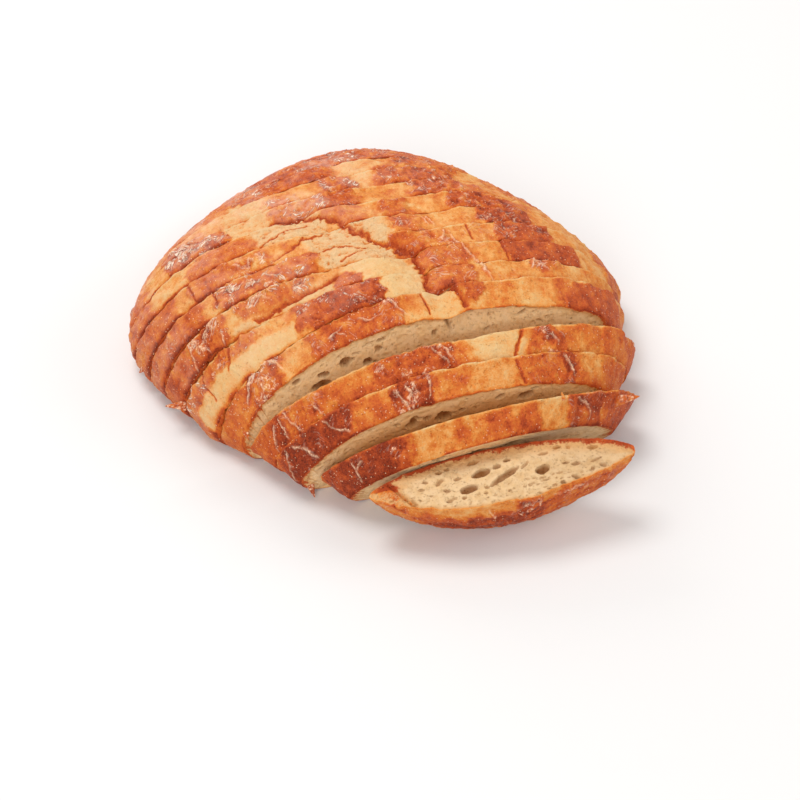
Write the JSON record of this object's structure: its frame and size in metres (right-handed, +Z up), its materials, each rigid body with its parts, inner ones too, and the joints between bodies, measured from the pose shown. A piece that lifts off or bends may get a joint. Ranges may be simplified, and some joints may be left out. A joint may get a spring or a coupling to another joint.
{
  "type": "sliced sourdough miche",
  "caption": "Round hearth bread with a torn, blistered crust, cut into slices that stand together as a block while the front ones lean forward and the heel lies open",
  "frame": {"origin": "middle of the bounding box's underside, on the surface that the bread rests on", "axes": "+Z up; -Y towards the fallen heel, where the cut faces look; +Y back through the slices to the rounded back heel; +X along the cuts to the right as seen from the front"},
  "size_m": [0.2612, 0.2992, 0.0767],
  "materials": {
    "crust": "satin",
    "crumb": "matte"
  },
  "bodies": {
    "root": {"slice_01": "crust", "slice_02": "crust", "slice_03": "crust", "slice_04": "crust", "slice_05": "crust", "slice_06": "crust", "slice_07": "crust", "slice_08": "crust", "slice_09": "crust", "slice_10": "crust", "slice_11": "crust", "slice_12": "crust", "slice_13": "crust", "slice_14": "crust", "slice_15": "crust", "slice_16": "crust"}
  },
  "joints": []
}
